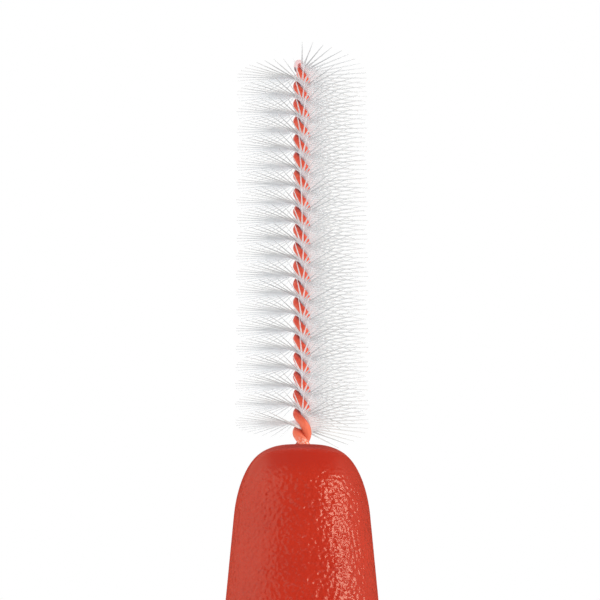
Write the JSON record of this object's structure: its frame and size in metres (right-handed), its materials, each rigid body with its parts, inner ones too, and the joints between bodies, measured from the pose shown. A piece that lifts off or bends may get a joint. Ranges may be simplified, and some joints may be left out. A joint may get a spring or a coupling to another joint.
{
  "type": "interdental brush",
  "caption": "Interdental brush: moulded handle with a bendable twisted wire stem carrying a cylinder of fine nylon bristles.",
  "frame": {"origin": "centre of the flat butt of the handle", "axes": "+Z along the handle towards the bristle tip, +Y through the handle's thickness, -Y towards the viewer's flat"},
  "size_m": [0.0078, 0.0046, 0.0708],
  "materials": {
    "handle_plastic": "moulded polypropylene, glossy with a fine spark-eroded grain",
    "wire_coating": "extruded coating, semi-gloss",
    "wire_steel": "drawn stainless wire",
    "tip_resin": "translucent resin drop",
    "nylon_filament": "translucent extruded nylon"
  },
  "bodies": {
    "handle": {"handle": "handle_plastic", "core_wire_root": "wire_steel", "coating_root": "wire_coating"},
    "brush_head": {"core_wire_stem": "wire_steel", "coating_stem": "wire_coating", "tip_bead": "tip_resin", "bristle_tuft_01": "nylon_filament", "bristle_tuft_02": "nylon_filament", "bristle_tuft_03": "nylon_filament", "bristle_tuft_04": "nylon_filament", "bristle_tuft_05": "nylon_filament", "bristle_tuft_06": "nylon_filament", "bristle_tuft_07": "nylon_filament", "bristle_tuft_08": "nylon_filament", "bristle_tuft_09": "nylon_filament", "bristle_tuft_10": "nylon_filament", "bristle_tuft_11": "nylon_filament", "bristle_tuft_12": "nylon_filament", "bristle_tuft_13": "nylon_filament", "bristle_tuft_14": "nylon_filament", "bristle_tuft_15": "nylon_filament", "bristle_tuft_16": "nylon_filament", "bristle_tuft_17": "nylon_filament", "bristle_tuft_18": "nylon_filament", "bristle_tuft_19": "nylon_filament", "bristle_tuft_20": "nylon_filament"}
  },
  "joints": [
    {"name": "neck_bend", "type": "hinge", "parent": "handle", "child": "brush_head", "pos_m": [0, 0, 0.05847], "axis": [1, 0, 0], "range_deg": [-30, 30]}
  ]
}
